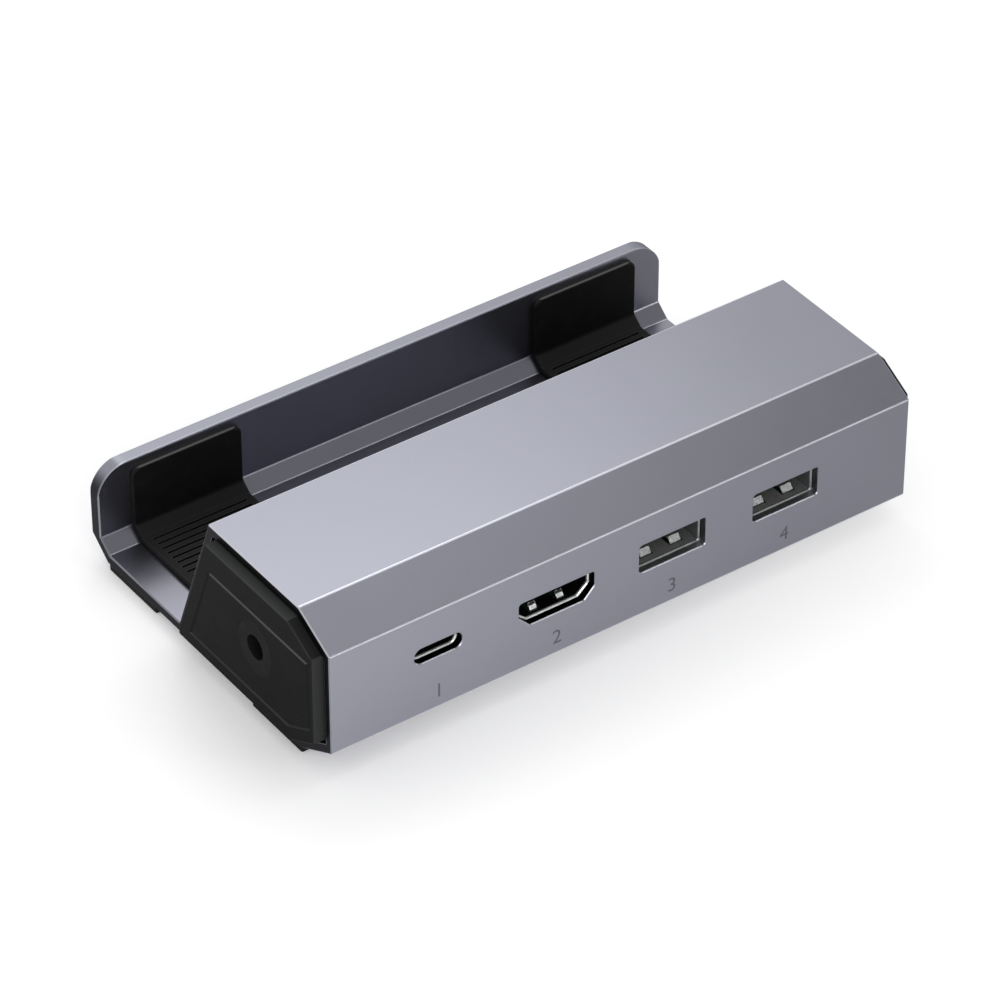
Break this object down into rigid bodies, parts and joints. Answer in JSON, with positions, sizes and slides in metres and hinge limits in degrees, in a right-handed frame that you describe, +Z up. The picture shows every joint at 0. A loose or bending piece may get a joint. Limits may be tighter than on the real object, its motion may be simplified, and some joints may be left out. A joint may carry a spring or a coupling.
{
  "type": "game console dock",
  "caption": "Low aluminium dock: a hollow hub with a row of sockets on one long face, beside an open padded cradle that holds a handheld game console upright.",
  "frame": {"origin": "middle of the footprint, on the surface that the foot strips stand on", "axes": "+X along the extrusion away from the gland's end, +Y from the port face to the cradle wall, +Z up"},
  "size_m": [0.1186, 0.0706, 0.03],
  "materials": {
    "body": "bead-blasted and anodised space grey with bright creases",
    "cap": "satin black moulding",
    "gland": "matt black rubber",
    "pad": "matt black silicone",
    "foot": "matt dark grey rubber",
    "board": "solder-mask green",
    "package": "moulded black",
    "coil": "grey ferrite",
    "can": "drawn metal can",
    "chip_capacitor": "tan fired body",
    "header": "natural moulding",
    "shell": "bright tinned steel",
    "insulator": "black moulding",
    "contact": "gold-plated strip"
  },
  "bodies": {
    "root": {"body_extrusion": "body", "left_end_cap": "cap", "right_end_cap": "cap", "cable_gland": "gland", "left_cradle_pad": "pad", "right_cradle_pad": "pad", "port_side_foot": "foot", "cradle_side_foot": "foot", "main_board": "board", "hub_chip": "package", "video_chip": "package", "power_chip": "package", "power_coil": "coil", "bulk_capacitors": "can", "small_capacitors": "chip_capacitor", "clock_crystal": "can", "cable_header": "header", "power_socket_shell": "shell", "power_socket_insulator": "insulator", "power_socket_contacts": "contact", "video_socket_shell": "shell", "video_socket_insulator": "insulator", "video_socket_contacts": "contact", "left_data_socket_shell": "shell", "left_data_socket_insulator": "insulator", "left_data_socket_contacts": "contact", "right_data_socket_shell": "shell", "right_data_socket_insulator": "insulator", "right_data_socket_contacts": "contact"}
  },
  "joints": []
}
